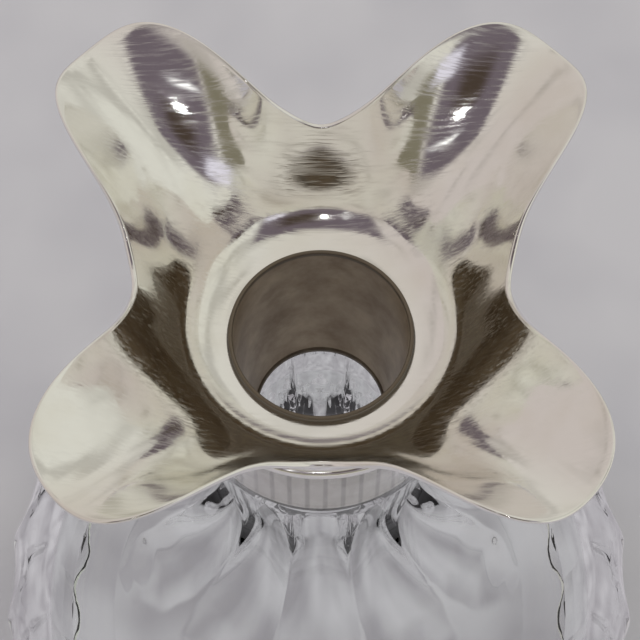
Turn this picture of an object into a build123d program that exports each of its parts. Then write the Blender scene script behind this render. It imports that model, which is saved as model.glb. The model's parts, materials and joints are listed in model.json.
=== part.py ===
"""Spirit decanter: a heavy cut-glass bottle with a four-lipped silver pouring mount.

The bottle is one piece of blown and cut lead glass: a fluted neck that flares over a round
shoulder into a wide body, a ring of petal cuts round the lower body and a star cut under
the base. The mount on top of it is silver. A foot ring sits on the glass and holds a dished
plate, a flared wall with four pouring lips stands on the plate's upturned edge, and a tapered
sleeve hangs from the plate down the neck as the stopper's seat. The plate and the wall run
into one another, so the inside of the mount is one smooth bowl. Plaster beds the sleeve in
the neck.

Units are millimetres. The origin is the centre of the base and +Z is up. The four lips point
along the diagonals between X and Y, so the low parts of the rim face +X, -X, +Y and -Y.
"""

import math
import os

from build123d import *

# Heights
MOUTH_HEIGHT = 157.0  # plane of the mouth's edge, from which every drop below is measured
GLASS_TOP_DROP = 1.0  # ground top of the neck

# Outside of the bottle
NECK_RADIUS = 18.2  # at the ground top
WAIST_RADIUS = 15.0  # narrowest part of the neck
WAIST_DROP = 52.0
BELLY_RADIUS = 60.5  # widest part of the body
BELLY_DROP = 123.0
HEEL_RADIUS = 57.4  # where the body turns in to the base
HEEL_HEIGHT = 11.0
BASE_RADIUS = 52.0  # outer edge of the flat the bottle stands on

# Inside of the bottle
BORE_RADIUS = 12.6  # bored for the sleeve
BORE_DEPTH = 27.0
WAIST_BORE_RADIUS = 10.4
NECK_WALL = 4.9
SHOULDER_WALL = 6.0
BELLY_WALL = 7.5
FLOOR_THICKNESS = 12.0
FLOOR_RADIUS = 43.0  # flat part of the cavity's floor
FLOOR_CORNER_HEIGHT = 13.0  # rise of the rounded corner from floor to wall

# Cutting on the glass
NECK_FLUTES = 10
NECK_FLUTE_TOP_DROP = 5.0
NECK_FLUTE_END_RADIUS = 44.0  # body radius where the neck flutes run out on the shoulder
NECK_WHEEL_SHARE = 1.3  # radius of the flute's hollow over the radius of the body there
PETALS = 24
PETAL_START_RADIUS = 47.0
PETAL_WHEEL_SHARE = 0.34
STAR_RAYS = 16
STAR_RADIUS = 42.0
STAR_HUB_RADIUS = 2.6
STAR_RAY_HALF_WIDTH = 3.2
STAR_DEPTH = 2.4
BASE_HOLLOW_RADIUS = 45.0
BASE_HOLLOW = 1.2

# Silver mount
SHEET = 0.8  # plate and flared wall
SLEEVE_SHEET = 0.6
SEAT_RADIUS = 11.4  # straight bore at the top of the sleeve
SEAT_LENGTH = 10.0
SLEEVE_END_RADIUS = 9.3
SLEEVE_DEPTH = 25.0
MOUTH_EDGE_RISE = 0.85  # the sleeve's edge stands this far above the plate
END_WIRE_RADIUS = 0.65
DISH_RADIUS = 17.2  # upper edge of the plate, where the wall takes over
DISH_RISE = 5.3
BOWL_MOUTH_SLOPE = 12.0  # degrees, of the plate round the mouth
BOWL_EDGE_SLOPE = 60.0  # degrees, of the plate's edge and the wall's foot
FOOT_RING_WALL = 0.85
FOOT_RING_TOP_RISE = 4.6
FOOT_RING_FLANGE = 2.9  # width of the flange that lies on the glass
FOOT_RING_FLANGE_THICKNESS = 0.55
FOOT_RING_MOULDING = 1.9  # height of the half-round moulding at its foot
FOOT_RING_FIT = 0.1  # between the plate and the ring round it
LIPS = 4
SECTION_STEP = 5.0  # degrees between the sections the flared wall is drawn through

# Rim of the flared wall at the angle t from a lip's tip: mean, then the harmonics of 4t
RIM_RADIUS = (30.53, 9.90, 1.41, -0.53, -0.39)
RIM_RISE = (19.67, 4.13, -1.82, -0.60, -0.16)

PLASTER_SHORT = 2.0  # the plaster stops this far above the sleeve's lower end
CLEARANCE = 0.05  # solder or bedding line between neighbouring pieces


def level(rise):
    """Height above the table of a plane this far above the mouth plane."""
    return MOUTH_HEIGHT + rise


def sagitta(radius, half_width):
    """Depth of a circular arc below its chord."""
    return radius - math.sqrt(radius * radius - half_width * half_width)


def turned(*edges):
    """Solid of revolution about Z of a closed outline in the XZ plane."""
    return Solid.revolve(Face(Wire(list(edges))), 360, Axis.Z)


def chain(*points):
    """Straight edges through (radius, height) points, in order."""
    return list(Polyline(*[(r, 0, z) for r, z in points]).edges())


def arc(start, middle, end):
    """Circular arc through three (radius, height) points."""
    return Edge.make_three_point_arc(*[Vector(r, 0, z) for r, z in (start, middle, end)])


def copies_around(solid, count, phase=0.0):
    """Copies of a solid, evenly spaced about the bottle's axis."""
    return [solid.rotate(Axis.Z, phase + 360.0 * i / count) for i in range(count)]


# Glass bottle

def outline():
    """Outside of the bottle from the neck's top to the heel, as one smooth edge."""
    top = level(-GLASS_TOP_DROP)
    waist = level(-WAIST_DROP)
    belly = level(-BELLY_DROP)
    fall = waist - belly
    swell = BELLY_RADIUS - WAIST_RADIUS
    neck = [(NECK_RADIUS, top), (NECK_RADIUS - 0.25, top - 19), (WAIST_RADIUS + 0.75, waist + 13)]
    shoulder = [(WAIST_RADIUS + swell * out, waist - fall * down)
                for out, down in ((0.0, 0.0), (0.045, 0.14), (0.20, 0.285), (0.55, 0.465), (0.86, 0.68), (0.985, 0.90))]
    body = [(BELLY_RADIUS, belly), (HEEL_RADIUS, HEEL_HEIGHT)]
    points = [Vector(r, 0, z) for r, z in neck + shoulder + body]
    return Edge.make_spline(points, tangents=[Vector(0, 0, -1), Vector(-0.34, 0, -1)])


def share_at(edge, radius, low, high):
    """Share of the outline at which it reaches a radius, between two shares."""
    for _ in range(28):
        middle = (low + high) / 2
        if (edge @ middle).X < radius:
            low = middle
        else:
            high = middle
    return (low + high) / 2


def share_at_height(edge, height):
    """Share of the outline at which it reaches a height."""
    low, high = 0.0, 1.0
    for _ in range(28):
        middle = (low + high) / 2
        if (edge @ middle).Z > height:
            low = middle
        else:
            high = middle
    return (low + high) / 2


def inward(edge, share, wall):
    """Point inside the outline by a wall's thickness, measured square to the outline."""
    point = edge @ share
    run = edge % share
    normal = Vector(run.Z, 0, -run.X)
    return point + normal * wall


def blank():
    """Outside of the bottle before any cutting."""
    edge = outline()
    top = level(-GLASS_TOP_DROP)
    heel = arc((HEEL_RADIUS, HEEL_HEIGHT), (55.6, 4.6), (BASE_RADIUS, 0))
    return turned(
        *chain((BASE_RADIUS, 0), (0, 0), (0, top), (NECK_RADIUS, top)),
        edge,
        heel,
    )


def cavity():
    """Inside of the bottle: bore for the sleeve, neck, body and rounded floor."""
    edge = outline()
    waist_share = share_at_height(edge, level(-WAIST_DROP))
    belly_share = share_at_height(edge, level(-BELLY_DROP))
    shoulder = [share_at(edge, radius, waist_share, belly_share) for radius in (18.0, 26.0, 40.0, 52.0)]
    walls = (NECK_WALL, SHOULDER_WALL, SHOULDER_WALL, 0.5 * (SHOULDER_WALL + BELLY_WALL))
    corner_top = Vector(BELLY_RADIUS - BELLY_WALL - 1.2, 0, FLOOR_THICKNESS + FLOOR_CORNER_HEIGHT)
    wall = Edge.make_spline(
        [Vector(WAIST_BORE_RADIUS, 0, level(-WAIST_DROP + 8)), Vector(WAIST_BORE_RADIUS, 0, level(-WAIST_DROP - 1))]
        + [inward(edge, share, thickness) for share, thickness in zip(shoulder, walls)]
        + [inward(edge, belly_share, BELLY_WALL), corner_top],
        tangents=[Vector(0, 0, -1), Vector(-0.16, 0, -1)],
    )
    corner = arc((corner_top.X, corner_top.Z), (corner_top.X - 2.9, FLOOR_THICKNESS + 4.1), (FLOOR_RADIUS, FLOOR_THICKNESS))
    top = level(-GLASS_TOP_DROP) + 1
    return turned(
        *chain(
            (FLOOR_RADIUS, FLOOR_THICKNESS),
            (0, FLOOR_THICKNESS),
            (0, top),
            (BORE_RADIUS, top),
            (BORE_RADIUS, level(-BORE_DEPTH)),
            (WAIST_BORE_RADIUS, level(-BORE_DEPTH - 2.2)),
            (WAIST_BORE_RADIUS, level(-WAIST_DROP + 8)),
        ),
        wall,
        corner,
    )


def ground_flute(stations, count, wheel_share):
    """One hollow flute, as the solid that the wheel grinds away along the outline.

    Each station is (point on the outline, direction along it, lift). The flute is as wide as
    its share of the way round the body, and a lift holds the wheel off the glass at a run-out.
    """
    sections = []
    for point, run, lift in stations:
        radius = point.X
        half = 0.985 * radius * math.sin(math.pi / count)
        wheel = wheel_share * radius
        depth = sagitta(wheel, half) + sagitta(radius, half) - lift
        reach = 1.12 * half
        edge_rise = sagitta(wheel, reach) - depth
        roof = edge_rise + 0.10 * radius + 2.0
        plane = Plane(point, x_dir=(0, 1, 0), z_dir=run)
        corners = [plane.from_local_coords(Vector(x, y)) for x, y in (
            (-reach, edge_rise), (0, -depth), (reach, edge_rise), (reach, roof), (-reach, roof))]
        sections.append(Wire([
            Edge.make_three_point_arc(*corners[:3]),
            Edge.make_line(corners[2], corners[3]),
            Edge.make_line(corners[3], corners[4]),
            Edge.make_line(corners[4], corners[0]),
        ]))
    return Solid.make_loft(sections)


def neck_flutes():
    """Broad shallow flutes down the neck that widen over the shoulder."""
    edge = outline()
    waist_share = share_at_height(edge, level(-WAIST_DROP))
    belly_share = share_at_height(edge, level(-BELLY_DROP))
    end = share_at(edge, NECK_FLUTE_END_RADIUS, waist_share, belly_share)
    start = share_at_height(edge, level(-NECK_FLUTE_TOP_DROP))
    stations = []
    for along, lift in ((-0.02, 1.9), (0.04, 0.25), (0.12, 0.0), (0.30, 0.0), (0.46, 0.0), (0.60, 0.0),
                        (0.72, 0.0), (0.82, 0.25), (0.91, 1.1), (1.0, 3.1)):
        share = start + along * (end - start)
        stations.append((edge @ share, edge % share, lift))
    return copies_around(ground_flute(stations, NECK_FLUTES, NECK_WHEEL_SHARE), NECK_FLUTES, 180.0 / NECK_FLUTES)


def petal_cuts():
    """Petal-shaped cuts round the lower body, pointed above and open at the heel."""
    edge = outline()
    waist_share = share_at_height(edge, level(-WAIST_DROP))
    belly_share = share_at_height(edge, level(-BELLY_DROP))
    start = share_at(edge, PETAL_START_RADIUS, waist_share, belly_share)
    stations = []
    for along, lift in ((-0.03, 2.2), (0.10, 0.85), (0.25, 0.2), (0.45, 0.0), (0.72, 0.0), (1.0, 0.0)):
        share = start + along * (1 - start)
        stations.append((edge @ share, edge % share, lift))
    run = Vector(-0.42, 0, -1).normalized()
    stations.append((Vector(BASE_RADIUS + 3.2, 0, 3.0), run, 0.5))
    stations.append((Vector(BASE_RADIUS + 0.6, 0, -2.0), run, 0.9))
    return copies_around(ground_flute(stations, PETALS, PETAL_WHEEL_SHARE), PETALS)


def star_cuts():
    """Hollow ground into the base and the V-shaped rays of the star in it."""
    hollow = Solid.make_cylinder(BASE_HOLLOW_RADIUS, BASE_HOLLOW + 1, Plane((0, 0, -1)))
    root = Wire.make_polygon([
        Vector(STAR_HUB_RADIUS, -STAR_RAY_HALF_WIDTH, 0),
        Vector(STAR_HUB_RADIUS, STAR_RAY_HALF_WIDTH, 0),
        Vector(STAR_HUB_RADIUS, 0, BASE_HOLLOW + STAR_DEPTH),
    ])
    tip = Wire.make_polygon([
        Vector(STAR_RADIUS, -0.4, 0),
        Vector(STAR_RADIUS, 0.4, 0),
        Vector(STAR_RADIUS, 0, BASE_HOLLOW + 0.1),
    ])
    hub = Solid.make_cylinder(STAR_HUB_RADIUS + 1.6, BASE_HOLLOW + 0.4 * STAR_DEPTH)
    return [hollow, hub, *copies_around(Solid.make_loft([root, tip]), STAR_RAYS)]


def glass_bottle():
    """The cut bottle, one solid of lead glass."""
    bottle = blank().cut(cavity())
    bottle = bottle.cut(*neck_flutes())
    bottle = bottle.cut(*petal_cuts())
    return bottle.cut(*star_cuts())


# Silver mount

def stopper_sleeve():
    """Stopper's seat: a raised mouth edge, a straight bore and a slow taper below it."""
    outer = SEAT_RADIUS + SLEEVE_SHEET
    foot = level(-SLEEVE_DEPTH)
    straight_end = level(-SEAT_LENGTH)
    shoulder = level(0.6 * MOUTH_EDGE_RISE)
    crest = SEAT_RADIUS + 0.45 * SLEEVE_SHEET
    return turned(
        arc((SEAT_RADIUS, shoulder), (crest, level(MOUTH_EDGE_RISE)), (outer - 0.1 * SLEEVE_SHEET, shoulder)),
        *chain(
            (outer - 0.1 * SLEEVE_SHEET, shoulder),
            (outer, level(0)),
            (outer, straight_end),
            (SLEEVE_END_RADIUS + SLEEVE_SHEET, foot),
            (SLEEVE_END_RADIUS, foot),
            (SEAT_RADIUS, straight_end),
            (SEAT_RADIUS, shoulder),
        ),
    )


def sleeve_end_wire():
    """Round wire soldered to the sleeve's lower end."""
    centre = Vector(SLEEVE_END_RADIUS + SLEEVE_SHEET / 2, 0, level(-SLEEVE_DEPTH) - END_WIRE_RADIUS - CLEARANCE)
    circle = Wire.make_circle(END_WIRE_RADIUS, Plane(centre, x_dir=(1, 0, 0), z_dir=(0, 1, 0)))
    return Solid.revolve(Face(circle), 360, Axis.Z)


def slope_run(degrees):
    """Unit direction in the XZ plane, outwards and up at an angle."""
    return Vector(math.cos(math.radians(degrees)), 0, math.sin(math.radians(degrees)))


def dished_plate():
    """Bowl-shaped plate, nearly level round the mouth and steep at its edge."""
    inner = SEAT_RADIUS + SLEEVE_SHEET + CLEARANCE
    edge_run = slope_run(BOWL_EDGE_SLOPE)
    edge = Vector(DISH_RADIUS, 0, level(DISH_RISE))
    under = edge + Vector(edge_run.Z, 0, -edge_run.X) * SHEET
    upper = Edge.make_spline([Vector(inner, 0, level(0)), edge], tangents=[slope_run(BOWL_MOUTH_SLOPE), edge_run])
    lower = Edge.make_spline([Vector(inner, 0, level(-SHEET)), under], tangents=[slope_run(BOWL_MOUTH_SLOPE), edge_run])
    return turned(
        upper,
        Edge.make_line(edge, under),
        lower,
        Edge.make_line(lower @ 0, upper @ 0),
    )


def foot_ring():
    """Ring that lies on the ground top of the neck and grips the plate's upturned edge."""
    base = level(-GLASS_TOP_DROP + CLEARANCE)
    top = level(FOOT_RING_TOP_RISE)
    grip = DISH_RADIUS + SHEET + FOOT_RING_FIT
    outer = grip + FOOT_RING_WALL
    inner = outer - FOOT_RING_FLANGE
    moulding_top = base + FOOT_RING_MOULDING
    return turned(
        *chain(
            (outer - 0.3, base),
            (inner, base),
            (inner, base + FOOT_RING_FLANGE_THICKNESS),
            (grip, base + FOOT_RING_FLANGE_THICKNESS),
            (grip, top),
            (outer, top),
            (outer, moulding_top),
        ),
        arc((outer, moulding_top), (outer + 0.28 * FOOT_RING_MOULDING, base + 0.5 * FOOT_RING_MOULDING),
            (outer - 0.3, base)),
    )


def rim_at(angle):
    """Rim of the flared wall at an angle from a lip's tip, as (radius, height)."""
    turn = math.radians(LIPS * angle)
    radius = sum(a * math.cos(k * turn) for k, a in enumerate(RIM_RADIUS))
    rise = sum(a * math.cos(k * turn) for k, a in enumerate(RIM_RISE))
    return radius, level(rise)


def wall_section(angle):
    """Section of the flared wall in the radial plane at an angle from a lip's tip.

    The wall carries on upwards from the plate's edge and then folds outwards to the rim; the
    fold is sharpest along the middle of a lip, which leaves a trough for pouring.
    """
    rim_radius, rim_height = rim_at(angle)
    rise_share = math.tan(math.radians(BOWL_EDGE_SLOPE))
    foot_radius = DISH_RADIUS + CLEARANCE / rise_share
    foot_height = level(DISH_RISE + CLEARANCE)
    run = rim_radius - foot_radius
    lift = rim_height - foot_height
    reach = run / (rim_at(0)[0] - foot_radius)
    fold_radius = foot_radius + (0.62 - 0.22 * reach) * run
    fold_height = foot_height + (0.62 + 0.06 * reach) * lift
    rise_height = foot_height + 0.26 * lift
    rise_radius = foot_radius + 0.26 * lift / rise_share
    inner, outer = [], []
    for i in range(9):
        s = i / 8
        share = ((1 - s) ** 3, 3 * s * (1 - s) ** 2, 3 * s * s * (1 - s), s ** 3)
        slope = (3 * (1 - s) ** 2, 6 * s * (1 - s), 3 * s * s)
        radius = (share[0] * foot_radius + share[1] * rise_radius + share[2] * fold_radius
                  + share[3] * rim_radius)
        height = (share[0] * foot_height + share[1] * rise_height + share[2] * fold_height
                  + share[3] * rim_height)
        dr = (slope[0] * (rise_radius - foot_radius) + slope[1] * (fold_radius - rise_radius)
              + slope[2] * (rim_radius - fold_radius))
        dz = (slope[0] * (rise_height - foot_height) + slope[1] * (fold_height - rise_height)
              + slope[2] * (rim_height - fold_height))
        size = math.hypot(dr, dz)
        inner.append((radius, height))
        outer.append((radius + SHEET * dz / size, height - SHEET * dr / size))
    end_dr, end_dz = rim_radius - inner[-2][0], rim_height - inner[-2][1]
    size = math.hypot(end_dr, end_dz)
    nose = ((inner[-1][0] + outer[-1][0]) / 2 + 0.5 * SHEET * end_dr / size,
            (inner[-1][1] + outer[-1][1]) / 2 + 0.5 * SHEET * end_dz / size)
    turn = math.radians(45 + angle)

    def place(point):
        return Vector(point[0] * math.cos(turn), point[0] * math.sin(turn), point[1])

    inner_edge = Edge.make_spline([place(p) for p in inner])
    outer_edge = Edge.make_spline([place(p) for p in reversed(outer)])
    rim_edge = Edge.make_three_point_arc(place(inner[-1]), place(nose), place(outer[-1]))
    foot_edge = Edge.make_line(place(outer[0]), place(inner[0]))
    return Wire([inner_edge, rim_edge, outer_edge, foot_edge])


def flared_wall():
    """The mount's wall with its four pouring lips, raised from one sheet."""
    half = 180.0 / LIPS
    count = round(2 * half / SECTION_STEP)
    quarter = Solid.make_loft([wall_section(-half + SECTION_STEP * i) for i in range(count + 1)])
    quarters = copies_around(quarter, LIPS)
    return quarters[0].fuse(*quarters[1:])


def plaster_bed():
    """Plaster that fills the space between the sleeve and the bored neck."""
    inner = SEAT_RADIUS + SLEEVE_SHEET + CLEARANCE
    outer = BORE_RADIUS - CLEARANCE
    fill_depth = SLEEVE_DEPTH - PLASTER_SHORT
    taper = (SEAT_RADIUS - SLEEVE_END_RADIUS) * (fill_depth - SEAT_LENGTH) / (SLEEVE_DEPTH - SEAT_LENGTH)
    return turned(*chain(
        (inner, level(-GLASS_TOP_DROP)),
        (outer, level(-GLASS_TOP_DROP)),
        (outer, level(-fill_depth)),
        (inner - taper, level(-fill_depth)),
        (inner, level(-SEAT_LENGTH)),
        (inner, level(-GLASS_TOP_DROP)),
    ))


def main():
    """Build every piece and write each to its own STEP file."""
    os.makedirs("parts", exist_ok=True)
    pieces = {
        "glass_bottle": glass_bottle(),
        "flared_wall": flared_wall(),
        "dished_plate": dished_plate(),
        "stopper_sleeve": stopper_sleeve(),
        "sleeve_end_wire": sleeve_end_wire(),
        "foot_ring": foot_ring(),
        "plaster_bed": plaster_bed(),
    }
    for name, piece in pieces.items():
        piece.label = name
        export_step(piece, os.path.join("parts", name + ".step"))


main()
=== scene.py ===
"""Spirit decanter: cut-glass bottle with a four-lipped silver pouring mount, dressed for a studio view.

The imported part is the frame. The silver mount and the bottle are raised again here as fine
meshes, so that the reflections run smoothly, and the plaster keeps its own solid. They have the
part's sizes, apart from a flatter bowl with a tighter fold, shorter flutes and petals and a plain
hollow base, which suit the photo better. Every length here is in millimetres until a mesh is written.
"""

import json
import logging
import math
from dataclasses import dataclass, field
from enum import Enum
from typing import Callable, Sequence

import bpy
from mathutils import Matrix, Vector

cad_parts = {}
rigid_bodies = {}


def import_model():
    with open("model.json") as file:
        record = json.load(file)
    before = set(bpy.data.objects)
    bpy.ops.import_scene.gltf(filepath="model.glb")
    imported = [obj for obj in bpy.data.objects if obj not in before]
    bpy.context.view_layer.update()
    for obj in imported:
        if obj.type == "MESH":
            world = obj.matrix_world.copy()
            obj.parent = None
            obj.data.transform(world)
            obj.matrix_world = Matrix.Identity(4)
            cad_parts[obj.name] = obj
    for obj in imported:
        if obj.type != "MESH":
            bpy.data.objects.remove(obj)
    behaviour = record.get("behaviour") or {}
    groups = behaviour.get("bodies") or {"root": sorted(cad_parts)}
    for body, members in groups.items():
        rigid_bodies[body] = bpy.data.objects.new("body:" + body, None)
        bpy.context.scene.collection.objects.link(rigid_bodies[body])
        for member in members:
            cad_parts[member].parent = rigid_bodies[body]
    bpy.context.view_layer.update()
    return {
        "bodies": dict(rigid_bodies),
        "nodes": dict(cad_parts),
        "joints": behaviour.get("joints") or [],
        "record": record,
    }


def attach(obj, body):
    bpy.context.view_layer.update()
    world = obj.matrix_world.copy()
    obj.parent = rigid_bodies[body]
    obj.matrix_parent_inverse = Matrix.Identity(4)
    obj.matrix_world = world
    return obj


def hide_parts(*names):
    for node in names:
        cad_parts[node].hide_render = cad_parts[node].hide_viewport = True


LOG = logging.getLogger("decanter")
MM = 0.001  # metres in a millimetre
MOUTH = 157.0  # height of the mouth above the table
COLUMNS = 480  # sections round the axis of every large piece
TURNED_CREASE = 40.0  # edges of turned pieces that bend by more degrees stay crisp
DOWN = (0.0, -1.0)
MIX_SHARE, MIX_START, MIX_END, MIX_RESULT = 0, 6, 7, 2  # colour sockets of the mix node
Point = tuple[float, float]
Point3 = tuple[float, float, float]
Colour = tuple[float, float, float, float]
Tree = bpy.types.NodeTree
Socket = bpy.types.NodeSocket


def linear(hex_colour: str) -> Colour:
    """Turn an sRGB hex colour into the linear colour that a shader expects.

    Args:
        hex_colour: Six hex digits after a hash.

    Returns:
        Linear red, green and blue, with full opacity.
    """
    digits = hex_colour.lstrip("#")
    parts = [int(digits[i:i + 2], 16) / 255 for i in (0, 2, 4)]
    red, green, blue = [c / 12.92 if c <= 0.04045 else ((c + 0.055) / 1.055) ** 2.4 for c in parts]
    return red, green, blue, 1.0


def add_node(tree: Tree, kind: str, settings: dict | None = None,
             inputs: dict | None = None) -> bpy.types.Node:
    """Add one node with its settings, input values and incoming links.

    Args:
        tree: Node tree that gets the node.
        kind: Blender's name of the node type.
        settings: Properties of the node by name.
        inputs: Input sockets by name or index; a socket as the value is linked, anything else is set.

    Returns:
        The new node.
    """
    node = tree.nodes.new(kind)
    for name, value in (settings or {}).items():
        setattr(node, name, value)
    for key, value in (inputs or {}).items():
        socket = node.inputs[key]
        if isinstance(value, Socket):
            tree.links.new(value, socket)
        else:
            socket.default_value = value
    return node


def mix_colours(tree: Tree, share: Socket, start: Colour | Socket, end: Colour | Socket) -> Socket:
    """Mix two colours, with share as the part of the second one."""
    node = add_node(tree, "ShaderNodeMix", {"data_type": "RGBA"}, {
        MIX_SHARE: share, MIX_START: start, MIX_END: end})
    return node.outputs[MIX_RESULT]


def calculate(tree: Tree, operation: str, *values: Socket | float) -> Socket:
    """Apply one maths operation, by Blender's name for it, to its one or two values."""
    return add_node(tree, "ShaderNodeMath", {"operation": operation}, dict(enumerate(values))).outputs[0]


def ramp(tree: Tree, value: Socket, span: Point, result: Point = (0.0, 1.0), smooth: bool = False) -> Socket:
    """Map a value from a span to a result and hold it at the ends; smooth eases it in and out."""
    kind = "SMOOTHSTEP" if smooth else "LINEAR"
    return add_node(tree, "ShaderNodeMapRange", {"interpolation_type": kind}, {
        "Value": value, "From Min": span[0], "From Max": span[1],
        "To Min": result[0], "To Max": result[1]}).outputs["Result"]


def noise(tree: Tree, place: Socket, size: float, detail: float, roughness: float = 0.5) -> Socket:
    """Add noise with features of a size in millimetres, and that many finer layers."""
    return add_node(tree, "ShaderNodeTexNoise", inputs={
        "Vector": place, "Scale": 1 / (size * MM), "Detail": detail, "Roughness": roughness}).outputs["Fac"]


def stretch_place(tree: Tree, place: Socket, scale: Point3, rotation: Point3 = (0.0, 0.0, 0.0)) -> Socket:
    """Turn and stretch the place at which a texture is read."""
    return add_node(tree, "ShaderNodeMapping", inputs={
        "Vector": place, "Rotation": rotation, "Scale": scale}).outputs["Vector"]


def bump(tree: Tree, height: Socket, strength: float, depth: float, invert: bool = False) -> Socket:
    """Turn a height between 0 and 1, which stands for a depth in millimetres, into a normal."""
    return add_node(tree, "ShaderNodeBump", {"invert": invert}, {
        "Height": height, "Strength": strength, "Distance": depth * MM}).outputs["Normal"]


def split(tree: Tree, place: Socket) -> bpy.types.NodeOutputs:
    """Split a place into its outputs X, Y and Z."""
    return add_node(tree, "ShaderNodeSeparateXYZ", inputs={0: place}).outputs


class Slot(Enum):
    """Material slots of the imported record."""

    GLASS = "lead_glass"
    SILVER = "polished_silver"
    DARK_SILVER = "darkened_silver"


@dataclass(frozen=True)
class Finish:
    """A surface finish that builds its own node material."""

    name: str

    def surface(self, tree: Tree, place: Socket) -> Socket:
        """Add the nodes of the surface.

        Args:
            tree: Node tree of the material.
            place: Object coordinates in metres.

        Returns:
            The shader.
        """
        raise NotImplementedError

    def build(self) -> bpy.types.Material:
        """Build the node material.

        Returns:
            The material.
        """
        material = bpy.data.materials.new(self.name)
        material.use_nodes = True
        tree = material.node_tree
        tree.nodes.clear()
        place = add_node(tree, "ShaderNodeTexCoord").outputs["Object"]
        add_node(tree, "ShaderNodeOutputMaterial", inputs={"Surface": self.surface(tree, place)})
        return material


@dataclass(frozen=True)
class PolishedSilver(Finish):
    """Sterling silver, raised by hammer and polished by hand: a warm white mirror.

    Rouge polishing leaves hair-fine arcs that catch the light, and years of wiping leave a
    faint yellow bloom of sulphide where the cloth doesn't reach. Each stroke is the turn of one
    set of arcs in radians and how far they are drawn out.
    """

    name: str = "hand_polished_silver"
    bright: str = "#F5F4F0"
    bloom: str = "#E1DBCA"
    bloom_size: float = 14.0
    bloom_span: Point = (0.48, 0.78)
    bloom_share: float = 0.45
    roughness: float = 0.075
    strokes: tuple[Point, ...] = ((1.05, 26.0), (-0.95, 34.0), (2.3, 22.0))
    stroke_tilt: Point = (0.3, 0.2)
    stroke_squeeze: float = 6.0
    stroke_span: Point = (0.53, 0.69)
    scratch_spacing: float = 0.32
    scratch_roughness: float = 0.16
    scratch_strength: float = 0.10
    scratch_depth: float = 0.02

    def surface(self, tree: Tree, place: Socket) -> Socket:
        """Add a mirror with bloom and scratches.

        Args:
            tree: Node tree of the material.
            place: Object coordinates in metres.

        Returns:
            The shader.
        """
        patches = noise(tree, place, self.bloom_size, 3.0, 0.6)
        bloom = ramp(tree, patches, self.bloom_span, (0.0, self.bloom_share))
        heights = []
        for turn, drawn in self.strokes:
            rotation = (self.stroke_tilt[0] * turn, self.stroke_tilt[1], turn)
            aim = stretch_place(tree, place, (1.0, drawn, self.stroke_squeeze), rotation)
            lines = noise(tree, aim, drawn * self.scratch_spacing, 2.0, 0.7)
            heights.append(ramp(tree, lines, self.stroke_span))
        scratches = calculate(tree, "MAXIMUM", calculate(tree, "MAXIMUM", *heights[:2]), heights[2])
        dull = ramp(tree, scratches, (0.0, 1.0), (self.roughness, self.roughness + self.scratch_roughness))
        return add_node(tree, "ShaderNodeBsdfPrincipled", inputs={
            "Base Color": mix_colours(tree, bloom, linear(self.bright), linear(self.bloom)),
            "Metallic": 1.0, "Roughness": dull,
            "Normal": bump(tree, scratches, self.scratch_strength, self.scratch_depth, True)}).outputs[0]


@dataclass(frozen=True)
class TarnishedSilver(Finish):
    """Silver that the polishing cloth doesn't reach: browned by sulphide and turned to fine rings. The raised
    mouth edge is a darker colour.

    The edge colour lies on everything above the edge height, which is the sleeve's raised mouth edge.
    """

    name: str = "tarnished_silver"
    bright: str = "#B9AA92"
    brown: str = "#85735C"
    edge: str = "#6A6053"
    metallic: float = 0.55
    roughness: float = 0.36
    patch_size: float = 5.0
    patch_span: Point = (0.3, 0.7)
    edge_height: float = MOUTH + 0.2
    edge_blend: float = 0.3
    ring_spacing: float = 1.2
    ring_stretch: Point3 = (0.15, 0.15, 1.0)
    ring_strength: float = 0.25
    ring_depth: float = 0.02

    def surface(self, tree: Tree, place: Socket) -> Socket:
        """Add a dull brown metal with turned rings.

        Args:
            tree: Node tree of the material.
            place: Object coordinates in metres.

        Returns:
            The shader.
        """
        brown = ramp(tree, noise(tree, place, self.patch_size, 4.0, 0.6), self.patch_span)
        wall = mix_colours(tree, brown, linear(self.bright), linear(self.brown))
        start = self.edge_height - self.edge_blend
        edge = ramp(tree, split(tree, place)["Z"], (start * MM, self.edge_height * MM))
        rings = noise(tree, stretch_place(tree, place, self.ring_stretch), self.ring_spacing, 3.0)
        return add_node(tree, "ShaderNodeBsdfPrincipled", inputs={
            "Base Color": mix_colours(tree, edge, wall, linear(self.edge)),
            "Metallic": self.metallic, "Roughness": self.roughness,
            "Normal": bump(tree, rings, self.ring_strength, self.ring_depth)}).outputs[0]


@dataclass(frozen=True)
class LeadGlass(Finish):
    """Clear lead crystal, blown, wheel-cut and acid-polished, with faint upright cords.

    The refractive index is well under the 1.54 of lead glass. At the real value the cuts throw
    dark, sharp shapes over the shoulder, which the photo doesn't have.
    """

    name: str = "cut_lead_glass"
    tint: str = "#F6F8F7"
    ior: float = 1.27
    cord_spacing: float = 4.0
    cord_stretch: float = 9.0
    cord_strength: float = 0.05
    cord_depth: float = 0.35

    def surface(self, tree: Tree, place: Socket) -> Socket:
        """Add clear glass with cords.

        Args:
            tree: Node tree of the material.
            place: Object coordinates in metres.

        Returns:
            The shader.
        """
        parts = split(tree, place)
        drawn = calculate(tree, "DIVIDE", parts["Z"], self.cord_stretch)
        aim = add_node(tree, "ShaderNodeCombineXYZ", inputs={"X": parts["X"], "Y": parts["Y"], "Z": drawn})
        cords = noise(tree, aim.outputs[0], self.cord_spacing, 2.0)
        return add_node(tree, "ShaderNodeBsdfPrincipled", inputs={
            "Base Color": linear(self.tint), "Roughness": 0.0, "IOR": self.ior, "Transmission Weight": 1.0,
            "Normal": bump(tree, cords, self.cord_strength, self.cord_depth)}).outputs[0]


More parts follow.
